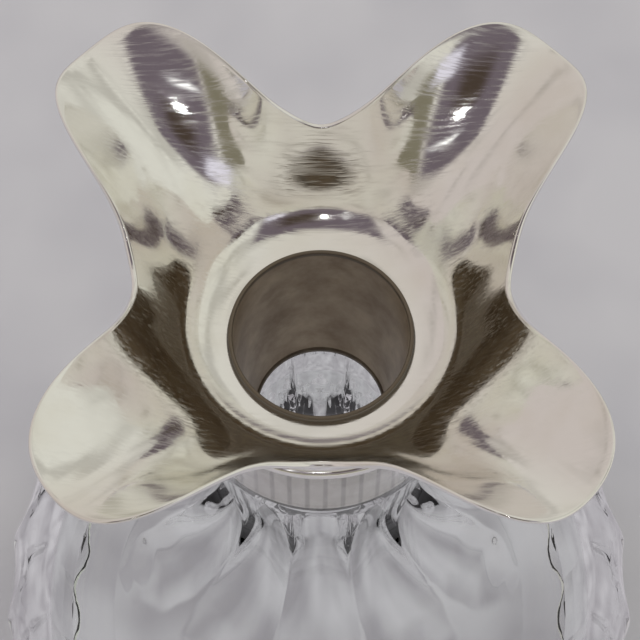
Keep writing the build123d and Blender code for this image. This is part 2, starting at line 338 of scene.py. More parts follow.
@dataclass(frozen=True)
class SetPlaster(Finish):
    """Plaster of Paris, run in wet and set: chalky, off-white, combed upright with the grooves painted darker
    as shade, and a painted shadow line along its foot.
    """

    name: str = "set_plaster"
    pale: str = "#F0ECEC"
    stained: str = "#DED7D8"
    # painted shade: the darker colour of the comb grooves, which have no depth of their own
    groove: str = "#A19A9E"
    # painted shadow line: the dark colour painted along the plaster's foot
    shadow_line: str = "#3E3935"
    roughness: float = 0.9
    grain: float = 0.8
    grain_strength: float = 0.4
    grain_depth: float = 0.1
    comb_teeth: float = 40.0
    comb_span: Point = (0.45, 0.95)
    groove_shade_share: float = 0.55
    foot: float = MOUTH - 23.0
    shadow_rise: float = 0.9
    shadow_blend: float = 0.15

    def surface(self, tree: Tree, place: Socket) -> Socket:
        """Add combed plaster, with painted shade in the grooves and a painted shadow line along its foot.

        Args:
            tree: Node tree of the material.
            place: Object coordinates in metres.

        Returns:
            The shader.
        """
        grain = noise(tree, place, self.grain, 5.0)
        body = mix_colours(tree, grain, linear(self.pale), linear(self.stained))
        parts = split(tree, place)
        angle = calculate(tree, "ARCTAN2", parts["Y"], parts["X"])
        wave = calculate(tree, "SINE", calculate(tree, "MULTIPLY", angle, self.comb_teeth))
        # painted shade: the comb grooves are darkened in colour to stand in for the shade in them
        groove_shade = ramp(tree, wave, self.comb_span, (0.0, self.groove_shade_share), smooth=True)
        combed = mix_colours(tree, groove_shade, body, linear(self.groove))
        # painted shadow line: the plaster below this height is painted dark to stand in for the shadow at the
        # sleeve's lower end
        top = self.foot + self.shadow_rise
        foot = ramp(tree, parts["Z"], (top * MM, (top + self.shadow_blend) * MM), (1.0, 0.0))
        return add_node(tree, "ShaderNodeBsdfPrincipled", inputs={
            "Base Color": mix_colours(tree, foot, combed, linear(self.shadow_line)), "Roughness": self.roughness,
            "Normal": bump(tree, grain, self.grain_strength, self.grain_depth)}).outputs[0]


@dataclass(frozen=True)
class PaleCloth(Finish):
    """The studio's pale grey sweep, faintly mottled.

    The camera sees the lit cloth. Rays that come by way of the glass or the silver see mostly
    the two glass tones instead, a slightly warmer grey that doesn't depend on the light.
    """

    name: str = "pale_sweep"
    light: str = "#C9CAD2"
    shade: str = "#C0C1CA"
    glass_light: str = "#CBC7CC"
    glass_shade: str = "#A19CA2"
    patch: float = 30.0
    patch_span: Point = (0.35, 0.65)
    roughness: float = 0.85
    sheen: float = 0.2
    seen_through: float = 0.85

    def surface(self, tree: Tree, place: Socket) -> Socket:
        """Add mottled cloth.

        Args:
            tree: Node tree of the material.
            place: Object coordinates in metres.

        Returns:
            The shader.
        """
        share = ramp(tree, noise(tree, place, self.patch, 1.5), self.patch_span)
        cloth = add_node(tree, "ShaderNodeBsdfPrincipled", inputs={
            "Base Color": mix_colours(tree, share, linear(self.light), linear(self.shade)),
            "Roughness": self.roughness, "Specular IOR Level": self.sheen})
        tone = mix_colours(tree, share, linear(self.glass_light), linear(self.glass_shade))
        glow = add_node(tree, "ShaderNodeEmission", inputs={"Color": tone, "Strength": 1.0})
        path = add_node(tree, "ShaderNodeLightPath").outputs
        bent = calculate(tree, "MAXIMUM", path["Is Transmission Ray"], path["Is Glossy Ray"])
        through = calculate(tree, "MULTIPLY", bent, self.seen_through)
        return add_node(tree, "ShaderNodeMixShader", inputs={
            0: through, 1: cloth.outputs[0], 2: glow.outputs[0]}).outputs[0]


def link_piece(name: str, mesh: bpy.types.Mesh, material: bpy.types.Material) -> bpy.types.Object:
    """Give a mesh its finish and link it as an object.

    Args:
        name: Name of the object.
        mesh: Its mesh.
        material: Finish of the mesh.

    Returns:
        The linked object.
    """
    mesh.materials.append(material)
    piece = bpy.data.objects.new(name, mesh)
    bpy.context.scene.collection.objects.link(piece)
    return piece


def write_mesh(name: str, vertices: Sequence[Point3], faces: Sequence[Sequence[int]], crease_deg: float,
               material: bpy.types.Material) -> bpy.types.Object:
    """Write a smooth-shaded mesh object, with its lengths turned to metres.

    Args:
        name: Name of the piece.
        vertices: Points in millimetres.
        faces: Vertex indices of each face, wound outwards.
        crease_deg: Edges that turn by more than this stay crisp.
        material: Finish of the piece.

    Returns:
        The linked object.
    """
    mesh = bpy.data.meshes.new(name)
    mesh.from_pydata([(x * MM, y * MM, z * MM) for x, y, z in vertices], [], faces)
    mesh.validate()
    mesh.shade_smooth()
    mesh.set_sharp_from_angle(angle=math.radians(crease_deg))
    return link_piece(name, mesh, material)


def write_sheet(name: str, size: Point, material: bpy.types.Material) -> bpy.types.Object:
    """Write a flat rectangle about its own centre.

    Args:
        name: Name of the object.
        size: Its width and height in millimetres.
        material: Finish of the rectangle.

    Returns:
        The linked object.
    """
    wide, high = size[0] / 2 * MM, size[1] / 2 * MM
    mesh = bpy.data.meshes.new(name)
    corners = [(-wide, -high, 0), (wide, -high, 0), (wide, high, 0), (-wide, high, 0)]
    mesh.from_pydata(corners, [], [(0, 1, 2, 3)])
    return link_piece(name, mesh, material)


def turned_point(point: Point, angle: float) -> Point3:
    """Turn a (radius, height) point about the bottle's axis by an angle in degrees."""
    return point[0] * math.cos(math.radians(angle)), point[0] * math.sin(math.radians(angle)), point[1]


def ring_mesh(name: str, columns: int, section: Callable[[float], list[Point]], crease_deg: float,
              material: bpy.types.Material) -> bpy.types.Object:
    """Sweep a closed section once round the bottle's axis.

    Args:
        name: Name of the piece.
        columns: Number of sections round the axis.
        section: Closed (radius, height) outline at an angle in degrees, wound so that faces point outwards.
        crease_deg: Edges that turn by more than this stay crisp.
        material: Finish of the piece.

    Returns:
        The linked object.
    """
    vertices: list[Point3] = []
    rows = 0
    for column in range(columns):
        angle = 360.0 * column / columns
        outline = section(angle)
        rows = len(outline)
        vertices.extend(turned_point(point, angle) for point in outline)
    faces = []
    for column in range(columns):
        here, there = column * rows, (column + 1) % columns * rows
        for row in range(rows):
            after = (row + 1) % rows
            faces.append((here + row, there + row, there + after, here + after))
    return write_mesh(name, vertices, faces, crease_deg, material)


def bow(start: Point, end: Point, height: float, count: int) -> list[Point]:
    """Sample a circular arc over a chord.

    Args:
        start: First point.
        end: Last point.
        height: Rise of the arc to the right of the chord's direction; negative to the left.
        count: Number of samples, ends included.

    Returns:
        The samples in order.
    """
    (x0, y0), (x1, y1) = start, end
    chord = math.hypot(x1 - x0, y1 - y0)
    along = ((x1 - x0) / chord, (y1 - y0) / chord)
    side = (along[1], -along[0])
    radius = (chord * chord / 4 + height * height) / (2 * abs(height))
    half = math.asin(min(1.0, chord / (2 * radius)))
    if abs(height) > chord / 2:
        half = math.pi - half
    sign = math.copysign(1.0, height)
    samples = []
    for i in range(count):
        angle = half * (2 * i / (count - 1) - 1)
        reach = chord / 2 + radius * math.sin(angle)
        rise = sign * (radius * math.cos(angle) - radius + abs(height))
        samples.append((x0 + along[0] * reach + side[0] * rise, y0 + along[1] * reach + side[1] * rise))
    return samples


def spline_slopes(values: Sequence[float], gaps: Sequence[float], start: float, end: float) -> list[float]:
    """Slopes of the cubic spline through some values, from its tridiagonal equations.

    Args:
        values: The values to pass.
        gaps: Lengths between neighbouring values.
        start: Slope at the first value.
        end: Slope at the last value.

    Returns:
        The slope at every value.
    """
    count = len(values)
    inner = range(1, count - 1)
    diagonal = [1.0] + [2 * (gaps[i - 1] + gaps[i]) for i in inner] + [1.0]
    lower = [0.0] + [gaps[i] for i in inner] + [0.0]
    upper = [0.0] + [gaps[i - 1] for i in inner] + [0.0]
    right = [start]
    for i in inner:
        before = (values[i] - values[i - 1]) / gaps[i - 1]
        after = (values[i + 1] - values[i]) / gaps[i]
        right.append(3 * (gaps[i] * before + gaps[i - 1] * after))
    right.append(end)
    for i in range(1, count):
        factor = lower[i] / diagonal[i - 1]
        diagonal[i] -= factor * upper[i - 1]
        right[i] -= factor * right[i - 1]
    slopes = [0.0] * count
    slopes[-1] = right[-1] / diagonal[-1]
    for i in range(count - 2, -1, -1):
        slopes[i] = (right[i] - upper[i] * slopes[i + 1]) / diagonal[i]
    return slopes


def smooth_through(points: Sequence[Point], start_run: Point, end_run: Point, per_span: int) -> list[Point]:
    """Cubic spline through points with given end directions, by chord length.

    Args:
        points: The points to pass.
        start_run: Direction at the first point.
        end_run: Direction at the last point.
        per_span: Samples between neighbouring points.

    Returns:
        The samples in order, both ends included.
    """
    gaps = [math.dist(a, b) for a, b in zip(points, points[1:])]
    first, last = math.hypot(*start_run), math.hypot(*end_run)
    slopes = [spline_slopes([p[axis] for p in points], gaps, start_run[axis] / first, end_run[axis] / last)
              for axis in (0, 1)]
    samples = []
    for i, gap in enumerate(gaps):
        for step in range(per_span):
            s = step / per_span
            pull = (2 * s ** 3 - 3 * s ** 2 + 1, s ** 3 - 2 * s ** 2 + s,
                    -2 * s ** 3 + 3 * s ** 2, s ** 3 - s ** 2)
            samples.append(tuple(
                pull[0] * points[i][axis] + pull[1] * gap * slopes[axis][i]
                + pull[2] * points[i + 1][axis] + pull[3] * gap * slopes[axis][i + 1]
                for axis in (0, 1)))
    samples.append(tuple(points[-1]))
    return samples


def run_at(degrees: float) -> Point:
    """Direction in the radial plane at a slope in degrees."""
    return math.cos(math.radians(degrees)), math.sin(math.radians(degrees))


@dataclass
class SilverMount:
    """Four-lipped wall, dished plate and foot ring: the polished silver above the glass.

    The rim's radius and rise are sums of cosines, with the constant first. The wall folds at a
    share of the way from its foot to the rim, out and up: a constant, and a change with the
    reach, which is 1 at a lip's tip.
    """

    mouth: float = MOUTH
    sheet: float = 0.8
    clearance: float = 0.05
    lips: int = 4
    lip_azimuth: float = 45.0
    rim_radius: tuple[float, ...] = (30.53, 9.90, 1.41, -0.53, -0.39)
    rim_rise: tuple[float, ...] = (19.65, 4.13, -1.82, -0.60, -0.16)
    wall_rows: int = 40
    wall_rise: float = 0.15
    wall_crease: float = 50.0
    edge_points: int = 9
    fold_out: Point = (0.70, -0.30)
    fold_up: Point = (0.55, 0.13)
    dish_inner: float = 12.05
    dish_radius: float = 17.2
    dish_rise: float = 2.9
    dish_points: int = 32
    mouth_slope: float = 10.0
    edge_slope: float = 50.0
    ring_fit: float = 0.1
    ring_wall: float = 0.85
    ring_top_rise: float = 3.4
    ring_flange: float = 2.9
    ring_flange_thickness: float = 0.55
    ring_foot_inset: float = 0.3
    ring_top_inset: float = 0.2
    ring_moulding: float = 1.9
    ring_moulding_bow: float = 0.7
    ring_moulding_points: int = 12
    ring_columns: int = 360
    glass_top_drop: float = 1.0

    def rim(self, angle: float) -> Point:
        """Trace the rim of the wall.

        Args:
            angle: Angle in degrees from a lip's tip.

        Returns:
            Radius and height.
        """
        turn = math.radians(self.lips * angle)
        radius = sum(a * math.cos(k * turn) for k, a in enumerate(self.rim_radius))
        rise = sum(a * math.cos(k * turn) for k, a in enumerate(self.rim_rise))
        return radius, self.mouth + rise

    def wall_section(self, angle: float) -> list[Point]:
        """Draw the wall in the radial plane, as a cubic at one sheet thickness with a round edge.

        Args:
            angle: World angle in degrees.

        Returns:
            Closed outline, up the inner face and down the outer one.
        """
        rim = self.rim(angle - self.lip_azimuth)
        steep = math.tan(math.radians(self.edge_slope))
        foot = (self.dish_radius, self.mouth + self.dish_rise)
        run, lift = rim[0] - foot[0], rim[1] - foot[1]
        reach = run / (self.rim(0.0)[0] - foot[0])
        fold = (foot[0] + (self.fold_out[0] + self.fold_out[1] * reach) * run,
                foot[1] + (self.fold_up[0] + self.fold_up[1] * reach) * lift)
        rise = self.wall_rise * lift
        guide = (foot, (foot[0] + rise / steep, foot[1] + rise), fold, rim)
        inner, outer = [], []
        for i in range(self.wall_rows + 1):
            s = i / self.wall_rows
            share = ((1 - s) ** 3, 3 * s * (1 - s) ** 2, 3 * s * s * (1 - s), s ** 3)
            pull = (3 * (1 - s) ** 2, 6 * s * (1 - s), 3 * s * s)
            radius, height = [sum(w * p[axis] for w, p in zip(share, guide)) for axis in (0, 1)]
            out, up = [sum(w * (q[axis] - p[axis]) for w, p, q in zip(pull, guide, guide[1:]))
                       for axis in (0, 1)]
            size = math.hypot(out, up)
            inner.append((radius, height))
            outer.append((radius + self.sheet * up / size, height - self.sheet * out / size))
        edge = bow(inner[-1], outer[-1], -self.sheet / 2, self.edge_points)[1:-1]
        return inner + edge + outer[::-1]

    def build_wall(self, material: bpy.types.Material) -> bpy.types.Object:
        """Raise the four-lipped wall."""
        return ring_mesh("raised_four_lip_wall", COLUMNS, lambda angle: self.wall_section(angle)[::-1],
                         self.wall_crease, material)

    def build_dish(self, material: bpy.types.Material) -> bpy.types.Object:
        """Turn the bowl-shaped plate.

        Args:
            material: Finish of the plate.

        Returns:
            The linked object.
        """
        mouth_run, edge_run = run_at(self.mouth_slope), run_at(self.edge_slope)
        edge = (self.dish_radius, self.mouth + self.dish_rise)
        below = (edge[0] + edge_run[1] * self.sheet, edge[1] - edge_run[0] * self.sheet)
        top, under = [smooth_through([(self.dish_inner, start), end], mouth_run, edge_run, self.dish_points)
                      for start, end in ((self.mouth, edge), (self.mouth - self.sheet, below))]
        return ring_mesh("dished_floor_plate", COLUMNS, lambda _: under + top[::-1], TURNED_CREASE, material)

    def build_foot(self, material: bpy.types.Material) -> bpy.types.Object:
        """Turn the foot ring.

        Args:
            material: Finish of the ring.

        Returns:
            The linked object.
        """
        base = self.mouth - self.glass_top_drop + self.clearance
        top = self.mouth + self.ring_top_rise
        grip = self.dish_radius + self.sheet + self.ring_fit
        radius = grip + self.ring_wall
        inner = radius - self.ring_flange
        flange = base + self.ring_flange_thickness
        start = (radius - self.ring_foot_inset, base)
        outline = [(inner, base), start]
        outline += bow(start, (radius, base + self.ring_moulding), self.ring_moulding_bow,
                       self.ring_moulding_points)[1:]
        outline += [(radius, top - self.ring_top_inset), (radius - self.ring_top_inset, top), (grip, top),
                    (grip, flange), (inner, flange)]
        return ring_mesh("moulded_foot_ring", self.ring_columns, lambda _: outline, TURNED_CREASE, material)


@dataclass
class StopperSeat:
    """The tapered sleeve in the neck and the wire round its lower end."""

    mouth: float = MOUTH
    radius: float = 11.4
    sheet: float = 0.6
    straight: float = 10.0
    end_radius: float = 9.3
    depth: float = 25.0
    edge_rise: float = 0.85
    edge_upright: float = 0.6
    edge_crown: float = 0.4
    edge_crown_points: int = 11
    edge_taper: float = 0.1
    edge_overlap: float = 0.3
    wire_radius: float = 0.65
    wire_points: int = 20
    wire_columns: int = 240
    wire_crease: float = 60.0
    clearance: float = 0.05

    def build_sleeve(self, material: bpy.types.Material) -> bpy.types.Object:
        """Turn the sleeve, with its raised mouth edge.

        Args:
            material: Finish of the sleeve.

        Returns:
            The linked object.
        """
        outer = self.radius + self.sheet
        shoulder = self.mouth + self.edge_upright * self.edge_rise
        start = (outer - self.edge_taper * self.sheet, shoulder)
        taper, end = self.mouth - self.straight, self.mouth - self.depth
        outline = [(outer, taper), (outer, self.mouth), start]
        crown = self.edge_crown * self.edge_rise
        outline += bow(start, (self.radius, shoulder), crown, self.edge_crown_points)[1:]
        outline += [(self.radius, shoulder - self.edge_overlap), (self.radius, taper),
                    (self.end_radius, end), (self.end_radius + self.sheet, end)]
        return ring_mesh("tapered_stopper_sleeve", COLUMNS, lambda _: outline, TURNED_CREASE, material)

    def build_wire(self, material: bpy.types.Material) -> bpy.types.Object:
        """Turn the end wire.

        Args:
            material: Finish of the wire.

        Returns:
            The linked object.
        """
        x = self.end_radius + self.sheet / 2
        z = self.mouth - self.depth - self.wire_radius - self.clearance
        outline = [(x + self.wire_radius * math.cos(a), z + self.wire_radius * math.sin(a))
                   for a in (2 * math.pi * i / self.wire_points for i in range(self.wire_points))]
        return ring_mesh("sleeve_end_wire_round", self.wire_columns, lambda _: outline, self.wire_crease,
                         material)


@dataclass
class CutBottle:
    """The lead-glass bottle: its outline, wall, neck flutes, petal cuts and hollow base.

    The taper, flare and corner are steps in radius and height. The shares of the shoulder are
    (out of the swell, down the fall), the walls are (outside radius, thickness) and the lifts
    are (share of the cut, how far the wheel is held off there). The flutes start at a drop from
    the mouth and end at a radius of the body.
    """

    mouth: float = MOUTH
    neck_radius: float = 18.2
    neck_taper: Point = (0.25, 19.0)
    waist_radius: float = 15.0
    waist_drop: float = 52.0
    waist_flare: Point = (0.75, 13.0)
    shoulder_shares: tuple[Point, ...] = (
        (0.0, 0.0), (0.045, 0.14), (0.20, 0.285), (0.55, 0.465), (0.86, 0.68), (0.985, 0.90))
    belly_radius: float = 60.5
    belly_drop: float = 123.0
    heel: Point = (57.4, 11.0)
    heel_run: Point = (-0.34, -1.0)
    heel_bow: float = -0.9
    heel_points: int = 12
    outline_points: int = 22
    base_radius: float = 52.0
    top_drop: float = 1.0
    bore_radius: float = 12.6
    bore_row: float = 8.0
    bore_depth: float = 27.0
    bore_step: float = 2.2
    waist_bore: float = 10.4
    waist_bore_span: Point = (8.0, -1.0)
    walls: tuple[Point, ...] = ((18.0, 4.9), (26.0, 6.0), (40.0, 6.0), (52.0, 6.75))
    belly_wall: float = 7.5
    corner: Point = (8.7, 13.0)
    corner_run: Point = (-0.16, -1.0)
    corner_bow: float = 3.4
    corner_points: int = 14
    inside_points: int = 16
    floor: float = 12.0
    floor_radius: float = 43.0
    floor_shares: tuple[float, ...] = (0.85, 0.6, 0.35, 0.12)
    neck_flutes: int = 10
    flute_phase: float = 18.0
    flute_span: Point = (20.0, 34.0)
    flute_wheel: float = 0.9
    flute_reach: Point = (-0.06, 1.1)
    flute_lifts: tuple[Point, ...] = (
        (-0.02, 1.9), (0.04, 0.25), (0.12, 0.0), (0.72, 0.0), (0.82, 0.25), (0.91, 1.1), (1.0, 3.1))
    petals: int = 24
    petal_start: float = 52.0
    petal_wheel: float = 0.62
    petal_reach: Point = (-0.05, math.inf)
    petal_lifts: tuple[Point, ...] = (
        (-0.03, 2.2), (0.10, 0.85), (0.25, 0.2), (0.45, 0.0), (1.0, 0.0), (1.12, 0.9))
    hollow_radius: float = 45.0
    hollow_edge: Point = (0.02, -0.05)
    hollow: float = 1.2
    rest_radius: float = 48.5
    hollow_rows: tuple[float, ...] = (43.4, 42.0, 40.0, 37.0, 34.0, 30.0, 26.0, 22.0, 18.0, 14.0, 10.0, 7.0,
                                      5.0, 4.2, 3.4, 2.65, 2.55, 1.2)
    crease: float = 24.0
    outside: list[Point] = field(default_factory=list)

    def __post_init__(self) -> None:
        """Trace the outside once, since every cut is measured along it."""
        self.outside = smooth_through(self.stations(), DOWN, self.heel_run, self.outline_points)

    @property
    def waist(self) -> float:
        """Height of the narrowest part of the neck."""
        return self.mouth - self.waist_drop

    @property
    def top(self) -> float:
        """Height of the ground top of the neck."""
        return self.mouth - self.top_drop

    def stations(self) -> list[Point]:
        """List the points that the outside runs through.

        Returns:
            Radius and height of each, from the neck's top to the heel.
        """
        belly = self.mouth - self.belly_drop
        swell, fall = self.belly_radius - self.waist_radius, self.waist - belly
        neck = [(self.neck_radius, self.top),
                (self.neck_radius - self.neck_taper[0], self.top - self.neck_taper[1]),
                (self.waist_radius + self.waist_flare[0], self.waist + self.waist_flare[1])]
        shoulder = [(self.waist_radius + swell * out, self.waist - fall * down)
                    for out, down in self.shoulder_shares]
        return neck + shoulder + [(self.belly_radius, belly), self.heel]

    def inward(self, index: int, wall: float) -> Point:
        """Step in from the outside, square to it.

        Args:
            index: Which point of the outside.
            wall: How far to step.

        Returns:
            Radius and height.
        """
        (r0, z0), (r1, z1) = self.outside[index - 1], self.outside[index + 1]
        size = math.hypot(r1 - r0, z1 - z0)
        radius, height = self.outside[index]
        return radius + (z1 - z0) / size * wall, height - (r1 - r0) / size * wall

    def inside(self) -> list[Point]:
        """Trace the inside, from the ground top down to the middle of the floor.

        Returns:
            Radius and height of each point.
        """
        step = self.mouth - self.bore_depth
        neck = (self.waist_bore, self.waist + self.waist_bore_span[0])
        points = [(self.bore_radius, self.top), (self.bore_radius, self.top - self.bore_row),
                  (self.bore_radius, step), (self.waist_bore, step - self.bore_step), neck]
        wall = [neck, (self.waist_bore, self.waist + self.waist_bore_span[1])]
        for radius, thickness in self.walls:
            index = next(i for i, (r, z) in enumerate(self.outside) if z < self.waist and r >= radius)
            wall.append(self.inward(index, thickness))
        index = next(i for i, (_, z) in enumerate(self.outside) if z <= self.mouth - self.belly_drop)
        wall.append(self.inward(index, self.belly_wall))
        corner = (self.belly_radius - self.corner[0], self.floor + self.corner[1])
        wall.append(corner)
        points += smooth_through(wall, DOWN, self.corner_run, self.inside_points)[1:]
        points += bow(corner, (self.floor_radius, self.floor), self.corner_bow, self.corner_points)[1:]
        return points + [(self.floor_radius * share, self.floor) for share in self.floor_shares]

    def underside(self) -> list[Point]:
        """Trace the base from its ring inwards, with the step up into the plain hollow.

        Returns:
            Radius and height of each point.
        """
        lip, step = [self.hollow_radius + edge for edge in self.hollow_edge]
        ground = [(radius, self.hollow) for radius in (step, *self.hollow_rows)]
        return [(self.rest_radius, 0.0), (lip, 0.0)] + ground


def sagitta(radius: float, half_width: float) -> float:
    """Depth of a circular arc below its chord."""
    return radius - math.sqrt(max(0.0, radius * radius - half_width * half_width))


@dataclass
class BottleCutter:
    """Works out how deep the wheel has gone at any place on the bottle's outside.

    The fill is the share of the pitch that a cut takes up, and the run-off is how fast the wheel
    is lifted past both ends of a cut.
    """

    bottle: CutBottle
    fill: float = 0.985
    run_off: float = 60.0
    lengths: list[float] = field(default_factory=list)
    flute_ends: Point = (0.0, 0.0)
    petal_ends: Point = (0.0, 0.0)

    def __post_init__(self) -> None:
        """Measure the running length of the outside and where each family of cuts starts and ends."""
        bottle = self.bottle
        total = 0.0
        self.lengths = [0.0]
        for a, b in zip(bottle.outside, bottle.outside[1:]):
            total += math.dist(a, b)
            self.lengths.append(total)
        start = self.length_where(lambda _, z: z <= bottle.mouth - bottle.flute_span[0])
        self.flute_ends = (start, self.shoulder_length(bottle.flute_span[1]))
        self.petal_ends = (self.shoulder_length(bottle.petal_start), self.lengths[-1])

    def length_where(self, passed: Callable[[float, float], bool]) -> float:
        """Running length at which the outside first passes a test of radius and height."""
        places = zip(self.bottle.outside, self.lengths)
        return next((length for (r, z), length in places if passed(r, z)), self.lengths[-1])

    def shoulder_length(self, radius: float) -> float:
        """Running length at which the shoulder first reaches a radius."""
        return self.length_where(lambda r, z: z < self.bottle.waist and r >= radius)

    def lift(self, along: float, stations: Sequence[Point]) -> float:
        """Find how far the wheel is held off.

        Args:
            along: Share of the cut.
            stations: Lift at some shares, in order.

        Returns:
            The lift, eased from station to station.
        """
        if along <= stations[0][0]:
            return stations[0][1] + (stations[0][0] - along) * self.run_off
        for (a, low), (b, high) in zip(stations, stations[1:]):
            if along <= b:
                s = (along - a) / (b - a)
                s = s * s * (3 - 2 * s)
                return low + (high - low) * s
        return stations[-1][1] + (along - stations[-1][0]) * self.run_off

    def groove(self, radius: float, off: float, count: int, wheel_share: float, lift: float) -> float:
        """Find the depth of one cut beside its middle.

        Args:
            radius: Radius of the body there.
            off: Angle from the middle of the cut in degrees.
            count: Number of cuts round the body.
            wheel_share: Radius of the hollow over the radius of the body.
            lift: How far the wheel is held off.

        Returns:
            Depth square to the outside.
        """
        side = radius * math.sin(math.radians(off))
        half = self.fill * radius * math.sin(math.pi / count)
        wheel = wheel_share * radius
        deep = sagitta(wheel, half) + sagitta(radius, half) - lift
        return max(0.0, deep - sagitta(wheel, side) - sagitta(radius, side))

    def depth(self, length: float, radius: float, angle: float) -> float:
        """Find the deepest cut at a place on the outside.

        Args:
            length: Running length down the outside.
            radius: Radius of the body there.
            angle: Angle about the axis in degrees.

        Returns:
            Depth square to the outside.
        """
        bottle = self.bottle
        deepest = 0.0
        for ends, reach, lifts, count, wheel, phase in (
                (self.flute_ends, bottle.flute_reach, bottle.flute_lifts, bottle.neck_flutes,
                 bottle.flute_wheel, bottle.flute_phase),
                (self.petal_ends, bottle.petal_reach, bottle.petal_lifts, bottle.petals,
                 bottle.petal_wheel, 0.0)):
            along = (length - ends[0]) / (ends[1] - ends[0])
            if reach[0] < along < reach[1]:
                pitch = 360.0 / count
                off = (angle - phase + pitch / 2) % pitch - pitch / 2
                deepest = max(deepest, self.groove(radius, off, count, wheel, self.lift(along, lifts)))
        return deepest


@dataclass
class GlassWork:
    """Raises the cut bottle as one closed mesh: outside, ground top, inside and hollow base."""

    bottle: CutBottle
    cutter: BottleCutter

    def cut_rows(self, angles: Sequence[float]) -> list[list[Point3]]:
        """Cut the outside and the heel under it.

        Args:
            angles: Angle of every column in degrees.

        Returns:
            Rows of points, from the neck's top to the foot.
        """
        bottle, cutter = self.bottle, self.cutter
        outside = list(zip(bottle.outside, cutter.lengths))
        last = cutter.lengths[-1]
        heel = bow(bottle.heel, (bottle.base_radius, 0.0), bottle.heel_bow, bottle.heel_points)
        for before, point in zip(heel, heel[1:]):
            last += math.dist(before, point)
            outside.append((point, last))
        rows = []
        for index, (point, length) in enumerate(outside):
            before = outside[max(index - 1, 0)][0]
            after = outside[min(index + 1, len(outside) - 1)][0]
            size = math.dist(before, after)
            normal = (-(after[1] - before[1]) / size, (after[0] - before[0]) / size)
            row = []
            for angle in angles:
                deep = cutter.depth(length, point[0], angle)
                cut = (point[0] - normal[0] * deep, max(0.0, point[1] - normal[1] * deep))
                row.append(turned_point(cut, angle))
            rows.append(row)
        return rows

    def build(self, material: bpy.types.Material) -> bpy.types.Object:
        """Raise the bottle.

        Args:
            material: Finish of the glass.

        Returns:
            The linked object.
        """
        angles = [360.0 * column / COLUMNS for column in range(COLUMNS)]
        under = [[turned_point(point, angle) for angle in angles] for point in self.bottle.underside()]
        inner = [[turned_point(point, angle) for angle in angles] for point in self.bottle.inside()]
        return self.close(self.cut_rows(angles) + under, inner, material)

    def close(self, outer: list[list[Point3]], inner: list[list[Point3]],
              material: bpy.types.Material) -> bpy.types.Object:
        """Join the outer and inner rows into one closed skin and write it.

        Args:
            outer: Rows from the neck's top to the middle of the base.
            inner: Rows from the neck's top to the middle of the floor.
            material: Finish of the glass.

        Returns:
            The linked object.
        """
        loops = outer[::-1] + inner
        vertices = [point for row in loops for point in row]
        faces: list[tuple[int, ...]] = []
        for row in range(len(loops) - 1):
            here, there = row * COLUMNS, (row + 1) * COLUMNS
            for column in range(COLUMNS):
                after = (column + 1) % COLUMNS
                faces.append((here + column, here + after, there + after, there + column))
        under, floor = len(vertices), len(vertices) + 1
        vertices.append((0.0, 0.0, outer[-1][0][2]))
        vertices.append((0.0, 0.0, inner[-1][0][2]))
        end = (len(loops) - 1) * COLUMNS
        for column in range(COLUMNS):
            after = (column + 1) % COLUMNS
            faces.append((under, after, column))
            faces.append((end + column, end + after, floor))
        return write_mesh("cut_glass_bottle", vertices, faces, self.bottle.crease, material)


@dataclass(frozen=True)
class Viewpoint:
    """The photograph's camera, as worked out from the rim and the mouth."""

    mouth: float = MOUTH
    distance: float = 211.8
    elevation: float = 65.9
    azimuth: float = -0.56
    roll: float = 0.47
    focal: float = 1647.0
    frame: float = 640.0
    mouth_pixel: Point = (321.2, 335.1)
    sensor: float = 36.0
    clip: Point = (10.0, 20000.0)

    def place(self) -> Matrix:
        """Work out where the camera stands and how it is turned.

        Returns:
            World matrix in metres.
        """
        steep = math.radians(self.elevation)
        towards = Vector((0.0, math.cos(steep), -math.sin(steep)))
        spot = Vector((0.0, 0.0, self.mouth)) - towards * self.distance
        tilt = math.atan((self.mouth_pixel[1] - self.frame / 2) / self.focal)
        pan = -math.atan((self.mouth_pixel[0] - self.frame / 2) / self.focal)
        steep -= tilt
        forward, right = Vector((0.0, math.cos(steep), -math.sin(steep))), Vector((1.0, 0.0, 0.0))
        forward, right = (forward * math.cos(pan) + right * math.sin(pan),
                          right * math.cos(pan) - forward * math.sin(pan))
        up = right.cross(forward)
        turn = math.radians(self.roll)
        right, up = right * math.cos(turn) + up * math.sin(turn), up * math.cos(turn) - right * math.sin(turn)
        frame = Matrix((right, up, -forward)).transposed().to_4x4()
        frame.translation = spot * MM
        return Matrix.Rotation(math.radians(self.azimuth), 4, "Z") @ frame

    def build(self) -> bpy.types.Object:
        """Make the camera and set it as the scene's own.

        Returns:
            The linked camera.
        """
        data = bpy.data.cameras.new("photo_view")
        data.sensor_fit = "HORIZONTAL"
        data.sensor_width = self.sensor
        data.lens = self.focal / self.frame * data.sensor_width
        data.clip_start, data.clip_end = self.clip[0] * MM, self.clip[1] * MM
        camera = bpy.data.objects.new("photo_view", data)
        camera.matrix_world = self.place()
        bpy.context.scene.collection.objects.link(camera)
        bpy.context.scene.camera = camera
        return camera


class Card(Enum):
    """Tones of the cards that the silver mirrors: pale ones lift it and dark ones draw it."""

    LILAC = "#D3D0DC"
    OLIVE = "#7C7766"
    PLUM = "#6E646C"
    UMBER = "#463B33"
    WHITE = "#FFFFFF"


